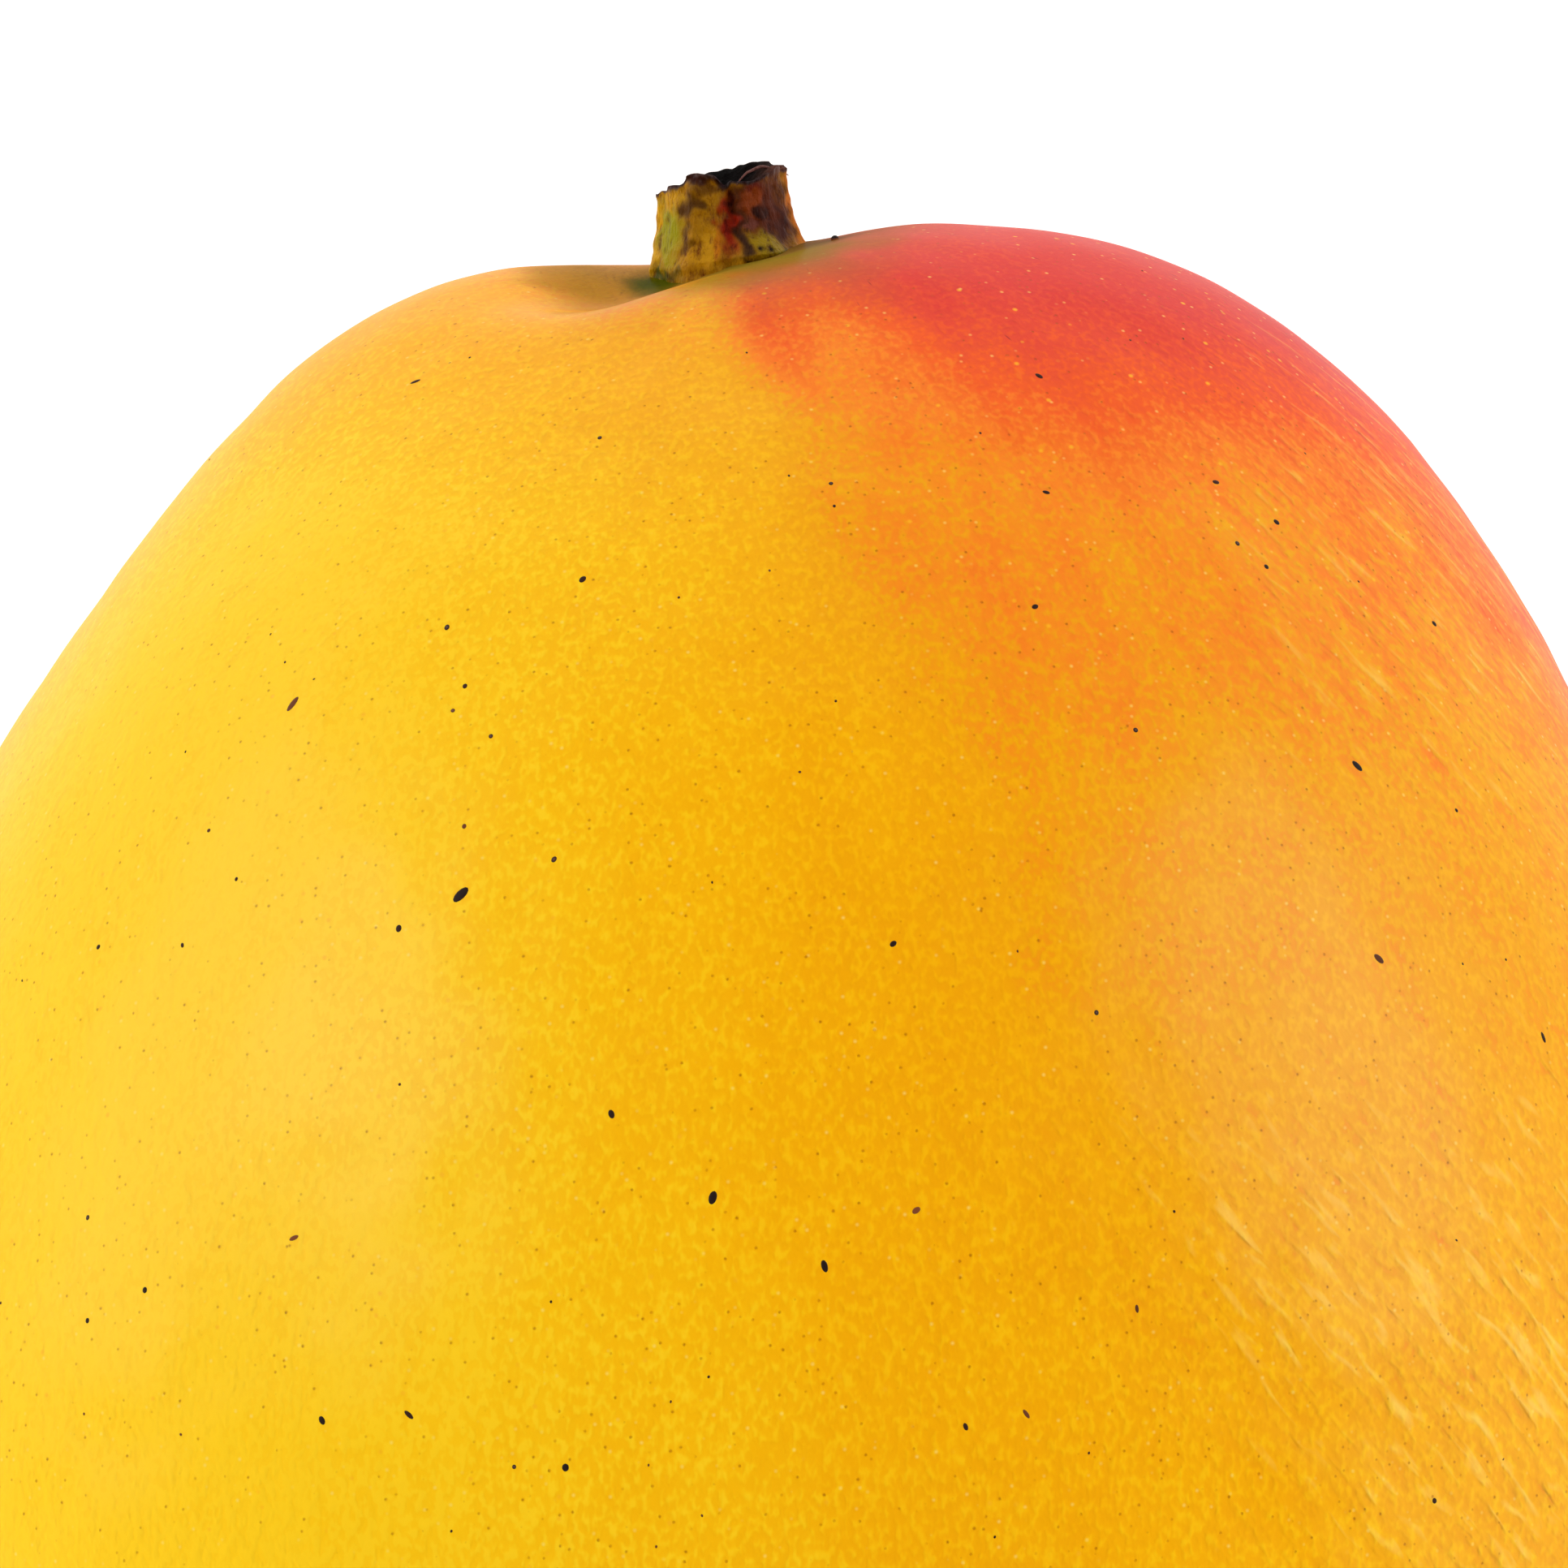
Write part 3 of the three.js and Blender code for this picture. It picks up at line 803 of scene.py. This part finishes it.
def skin_under(column, row):
    """Points of the skin that the camera sees at places of the picture, by halving each sight line.

    The search starts clear of the fruit and ends where the line comes nearest to the fruit's middle.
    """
    clear_of_fruit, halvings = 80.0, 40
    right, up, back = camera_axes()
    eye = np.array(PICTURE_MIDDLE) + CAMERA_DISTANCE * back
    across = (np.asarray(column, float) - PICTURE_SIZE / 2) / PIXELS_PER_MM
    above = (PICTURE_SIZE / 2 - np.asarray(row, float)) / PIXELS_PER_MM
    sight = unit(across[..., None] * right + above[..., None] * up - CAMERA_DISTANCE * back)
    near = np.full(across.shape, CAMERA_DISTANCE - clear_of_fruit)
    far = -(sight @ eye)
    for _ in range(halvings):
        halfway = (near + far) / 2
        point = eye + sight * halfway[..., None]
        distance = np.linalg.norm(point, axis=-1)
        outside = distance > skin_distance(point / distance[..., None])
        near = np.where(outside, halfway, near)
        far = np.where(outside, far, halfway)
    return eye + sight * far[..., None]


def skin_normal(points):
    """Outward unit normals of the skin at points on it, from two short steps along the surface."""
    outward = unit(points)
    side = unit(np.cross(outward, [0.0, 1.0, 0.0]) + 1e-9)
    along = np.cross(outward, side)
    step = 0.004
    steps = []
    for shift in (side * step, along * step):
        ahead = unit(outward + shift)
        steps.append(ahead * skin_distance(ahead)[..., None] - points)
    normal = unit(np.cross(steps[0], steps[1]))
    return normal * np.sign((normal * outward).sum(-1))[..., None]


FLECK_HEIGHT = 0.05
# Flecks that the picture shows: column and row in it, length and width in mm, lean from upright in degrees,
# tone from 0, nearly black, to 1, light brown, and height in mm. The last is a dark crumb
Fleck = namedtuple("Fleck", "column row length width lean tone height", defaults=[FLECK_HEIGHT])
SEEN_FLECKS = [
    Fleck(567, 1101, 0.85, 0.42, -40, 0.1),
    Fleck(360, 867, 0.8, 0.3, -20, 0.7),
    Fleck(878, 1475, 0.6, 0.35, -15, 0.1),
    Fleck(1016, 1560, 0.55, 0.28, 15, 0.1),
    Fleck(1673, 943, 0.6, 0.32, 35, 0.0),
    Fleck(1700, 1180, 0.55, 0.3, 45, 0.6),
    Fleck(753, 1372, 0.4, 0.26, 20, 0.2),
    Fleck(717, 710, 0.38, 0.28, -30, 0.3),
    Fleck(550, 771, 0.3, 0.24, 0, 0.2),
    Fleck(511, 468, 0.5, 0.2, -55, 0.3),
    Fleck(738, 534, 0.22, 0.2, 0, 0.3),
    Fleck(572, 843, 0.25, 0.22, 0, 0.4),
    Fleck(557, 873, 0.2, 0.2, 0, 0.7),
    Fleck(604, 905, 0.22, 0.2, 0, 0.5),
    Fleck(571, 1016, 0.24, 0.2, 0, 0.7),
    Fleck(682, 1057, 0.3, 0.22, -30, 0.5),
    Fleck(490, 1142, 0.34, 0.26, 0, 0.3),
    Fleck(120, 1166, 0.24, 0.22, 0, 0.2),
    Fleck(224, 1164, 0.24, 0.16, 30, 0.4),
    Fleck(291, 1083, 0.2, 0.16, 0, 0.4),
    Fleck(257, 1023, 0.18, 0.18, 0, 0.6),
    Fleck(1101, 1161, 0.34, 0.24, -50, 0.1),
    Fleck(1276, 745, 0.32, 0.24, -60, 0.2),
    Fleck(1281, 460, 0.4, 0.24, 40, 0.4),
    Fleck(1290, 603, 0.34, 0.2, 70, 0.2),
    Fleck(1499, 592, 0.34, 0.24, 80, 0.5),
    Fleck(1574, 641, 0.32, 0.26, 30, 0.1),
    Fleck(1525, 669, 0.26, 0.22, 0, 0.2),
    Fleck(1561, 697, 0.26, 0.24, 0, 0.1),
    Fleck(1769, 766, 0.3, 0.26, 30, 0.1),
    Fleck(1400, 898, 0.24, 0.22, 0, 0.2),
    Fleck(1796, 997, 0.2, 0.18, 0, 0.2),
    Fleck(1352, 1246, 0.24, 0.2, 0, 0.2),
    Fleck(1903, 1277, 0.5, 0.2, 10, 0.2),
    Fleck(1129, 1491, 0.4, 0.26, -55, 0.8),
    Fleck(1024, 594, 0.2, 0.2, 0, 0.2),
    Fleck(1028, 622, 0.16, 0.14, 0, 0.3),
    Fleck(105, 1499, 0.24, 0.2, 0, 0.2),
    Fleck(177, 1589, 0.28, 0.24, 0, 0.1),
    Fleck(107, 1627, 0.24, 0.2, 0, 0.2),
    Fleck(360, 1524, 0.46, 0.2, -65, 0.8),
    Fleck(396, 1750, 0.4, 0.26, 30, 0.1),
    Fleck(503, 1743, 0.5, 0.2, 50, 0.3),
    Fleck(696, 1808, 0.34, 0.3, 0, 0.1),
    Fleck(632, 1807, 0.2, 0.18, 0, 0.3),
    Fleck(1190, 1758, 0.34, 0.2, 20, 0.3),
    Fleck(1402, 1612, 0.36, 0.16, 5, 0.6),
    Fleck(1265, 1742, 0.46, 0.18, 35, 0.7),
    Fleck(1771, 1849, 0.26, 0.24, 0, 0.3),
    Fleck(1029, 292, 0.5, 0.34, -75, 0.0, 0.22),
]
# How deep a fleck's middle lies in the skin, and how much larger than it looks that lets it be
FLECK_SUNK, FLECK_ENLARGED = 0.02, 1.12
# Flecks at random places: how many are tried, the share kept of those on the side that the picture shows,
# how clear of the stalk they stay, how low they go, the shortest one's length and the most added to it
SCATTERED, SHOWN_SHARE = 520, 0.5
CLEAR_OF_STEM, LOWEST_FLECK = 7, -37
SHORTEST, LENGTHENED = 0.15, 0.35


def lens(rings=6, spokes=12):
    """A ball of radius 1 as a grid for closed_mesh, which is then pressed into a lens."""
    tilt, turn = np.meshgrid(
        np.linspace(0, np.pi, rings + 1), np.linspace(0, 2 * np.pi, spokes, endpoint=False), indexing="ij"
    )
    return np.stack([np.sin(tilt) * np.cos(turn), np.sin(tilt) * np.sin(turn), np.cos(tilt)], -1)


def scattered_places(random):
    """Random places on the skin, and which of them are on the side that the picture shows.

    There are none round the stalk and none where the fruit rests.
    """
    tilt = np.arccos(random.uniform(-1, 1, SCATTERED))
    turn = random.uniform(0, 2 * np.pi, SCATTERED)
    pointing = direction(tilt, turn)
    places = pointing * skin_distance(pointing)[..., None]
    x, y, z = places.T
    in_view = (z > 4) & (y > -6)
    clear = (np.hypot(x - STEM_X, z) > CLEAR_OF_STEM) | (y < 0)
    keep = (~in_view | (random.random(SCATTERED) < SHOWN_SHARE)) & clear & (z > LOWEST_FLECK)
    return places[keep], in_view[keep]


def make_flecks():
    """Dried lenticels: small lenses half sunk in the skin, the ones in the picture and seeded others."""
    random = np.random.default_rng(11)
    seen = Fleck(*np.array(SEEN_FLECKS, float).T)
    scattered, in_view = scattered_places(random)
    count = len(scattered)
    size = np.where(in_view, SHORTEST, SHORTEST + LENGTHENED * random.random(count) ** 3)
    slim = random.uniform(0.55, 0.95, count)

    places = np.vstack([skin_under(seen.column, seen.row), scattered])
    length = np.concatenate([FLECK_ENLARGED * seen.length, size])[:, None] / 2
    width = np.concatenate([FLECK_ENLARGED * seen.width, size * slim])[:, None] / 2
    lean = np.concatenate([seen.lean, random.normal(0, 30, count)])[:, None] * DEGREE
    tone = np.concatenate([seen.tone, random.uniform(0.1, 0.8, count)])[:, None]
    height = np.concatenate([seen.height, np.full(count, FLECK_HEIGHT)])[:, None]
    grey = (length > 0.1) & (length < 0.19) & (random.random(length.shape) < 0.4)
    normal = skin_normal(places)
    up = unit(np.array([0.0, 1.0, 0.0]) - normal * normal[:, 1:2])
    right = np.cross(up, normal)
    long_way = np.cos(lean) * up - np.sin(lean) * right
    wide_way = np.cross(long_way, normal)
    outward = unit(places)
    dents = skin_dents(places, meridian_place(outward, WRINKLE_TWIST))
    middle = places - outward * dents[:, None] - FLECK_SUNK * normal
    shape = lens()
    axes = np.stack([width * wide_way, length * long_way, height * normal], 1)
    points = middle[:, None, None] + shape @ axes[:, None]
    from_middle = np.hypot(shape[..., 0], shape[..., 1])
    numbers = {
        "tone": tone[..., None],
        "edge": smooth_step(from_middle, 0.86, 1.0),
        "grey_middle": grey[..., None] * (1 - smooth_step(from_middle, 0.2, 0.6)),
    }
    mesh = closed_mesh("lenticels", points + ORIGIN, numbers, {})
    add_piece(mesh, fleck_material(), None)


# The strand of fibre: its ends, how far it rises and where most, how thick it is, and a way across it
FIBRE_ENDS = np.array([[-2.1, 61.5, 2.75], [0.35, 61.95, -0.75]])
FIBRE_RISE, RISE_POWER, FIBRE_RADIUS = 0.62, 0.8, 0.075
FIBRE_ACROSS = np.array([0.82, 0.0, 0.57])
FIBRE_COLOUR = "#6A4038"


def make_fibre():
    """A strand of dry fibre that bridges the hollow of the cut: a thin tube along a smooth arch."""
    along, around = np.meshgrid(
        np.linspace(0, 1, 25), np.linspace(0, 2 * np.pi, 10, endpoint=False), indexing="ij"
    )
    centre = FIBRE_ENDS[0] + along[..., None] * (FIBRE_ENDS[1] - FIBRE_ENDS[0])
    centre[..., 1] += FIBRE_RISE * np.sin(np.pi * along**RISE_POWER) + 0.03 * waves(centre, 14, 0.5, 1.5)
    radius = FIBRE_RADIUS * np.sqrt(np.clip(np.sin(np.pi * along), 0, 1)) + 0.001
    ways = np.cos(around)[..., None] * FIBRE_ACROSS + np.sin(around)[..., None] * np.array([0.0, 1.0, 0.0])
    points = centre + radius[..., None] * ways
    vectors = {"bark_tone": paint(FIBRE_COLOUR)}
    mesh = closed_mesh("stalk_fibre", (points + ORIGIN)[None], {"dullness": 0.5}, vectors)
    add_piece(mesh, bpy.data.materials["dry_mango_stalk"], None)


def make_camera():
    camera = bpy.data.objects.new("camera", bpy.data.cameras.new("camera"))
    bpy.context.collection.objects.link(camera)
    camera.data.sensor_width = SENSOR_WIDTH
    camera.data.lens = SENSOR_WIDTH * CAMERA_DISTANCE * PIXELS_PER_MM / PICTURE_SIZE
    camera.data.clip_end = 20
    right, up, back = camera_axes()
    place = (ORIGIN + np.array(PICTURE_MIDDLE) + CAMERA_DISTANCE * back) * MM
    matrix = np.eye(4)
    matrix[:3] = np.stack([right, up, back, place], -1)
    camera.matrix_world = Matrix(matrix.tolist())
    bpy.context.scene.camera = camera


def make_floor():
    """A plain white floor that glows a little, as a lit table does, so that it stays white all round."""
    mesh = bpy.data.meshes.new("floor")
    reach = 3.0
    corners = [(-reach, -reach, 0), (reach, -reach, 0), (reach, reach, 0), (-reach, reach, 0)]
    mesh.from_pydata(corners, [], [(0, 1, 2, 3)])
    floor = bpy.data.objects.new("floor", mesh)
    bpy.context.collection.objects.link(floor)
    material, tree, shader = new_material("white_table")
    shader.inputs["Base Color"].default_value = (0.35, 0.35, 0.35, 1)
    shader.inputs["Roughness"].default_value = 0.9
    shader.inputs["Emission Color"].default_value = (1, 1, 1, 1)
    shader.inputs["Emission Strength"].default_value = 0.88
    mesh.materials.append(material)


# Soft boxes: where each stands in metres, its width and height, and its power. All point at one place
SoftBox = namedtuple("SoftBox", "place width height power")
LIGHT_AIM = Vector((0, 0.02, 0.04))
SOFT_BOXES = {
    "left": SoftBox((-0.95, 0.5, 0.34), 0.9, 0.6, 4.0),
    "right": SoftBox((0.95, 0.2, 0.28), 1.1, 0.8, 3.6),
    "upper left": SoftBox((-0.8, 0.6, 0.85), 0.5, 0.6, 4.4),
    "upper right": SoftBox((0.95, 0.6, 0.62), 0.8, 0.7, 5.3),
    "front": SoftBox((-0.02, -0.9, 1.1), 0.9, 0.6, 9.6),
}


def make_lights():
    """Soft boxes in a white tent that is open, and so dark, above the fruit."""
    for name, box in SOFT_BOXES.items():
        light = bpy.data.lights.new(name, "AREA")
        light.shape = "RECTANGLE"
        light.size, light.size_y = box.width, box.height
        light.energy = box.power
        lamp = bpy.data.objects.new(name, light)
        bpy.context.collection.objects.link(lamp)
        lamp.location = box.place
        lamp.rotation_euler = (LIGHT_AIM - Vector(box.place)).to_track_quat("-Z", "Y").to_euler()
        lamp.visible_camera = False
    world = bpy.data.worlds.new("studio")
    bpy.context.scene.world = world
    world.use_nodes = True
    tree = world.node_tree
    heading = add_node(tree, "ShaderNodeTexCoord").outputs["Generated"]
    height = add_node(tree, "ShaderNodeSeparateXYZ", {"Vector": heading}).outputs["Z"]
    tent = add_node(
        tree, "ShaderNodeMapRange",
        {"Value": height, "From Min": 0.15, "From Max": 0.6, "To Min": 0.6, "To Max": 0.08},
        {"interpolation_type": "SMOOTHSTEP"},
    )
    tree.links.new(tent.outputs[0], tree.nodes["Background"].inputs["Strength"])
    tree.nodes["Background"].inputs["Color"].default_value = (1, 1, 1, 1)


make_fruit()
make_stem()
make_fibre()
make_flecks()
make_camera()
make_floor()
make_lights()
bpy.context.scene.view_settings.view_transform = "Standard"
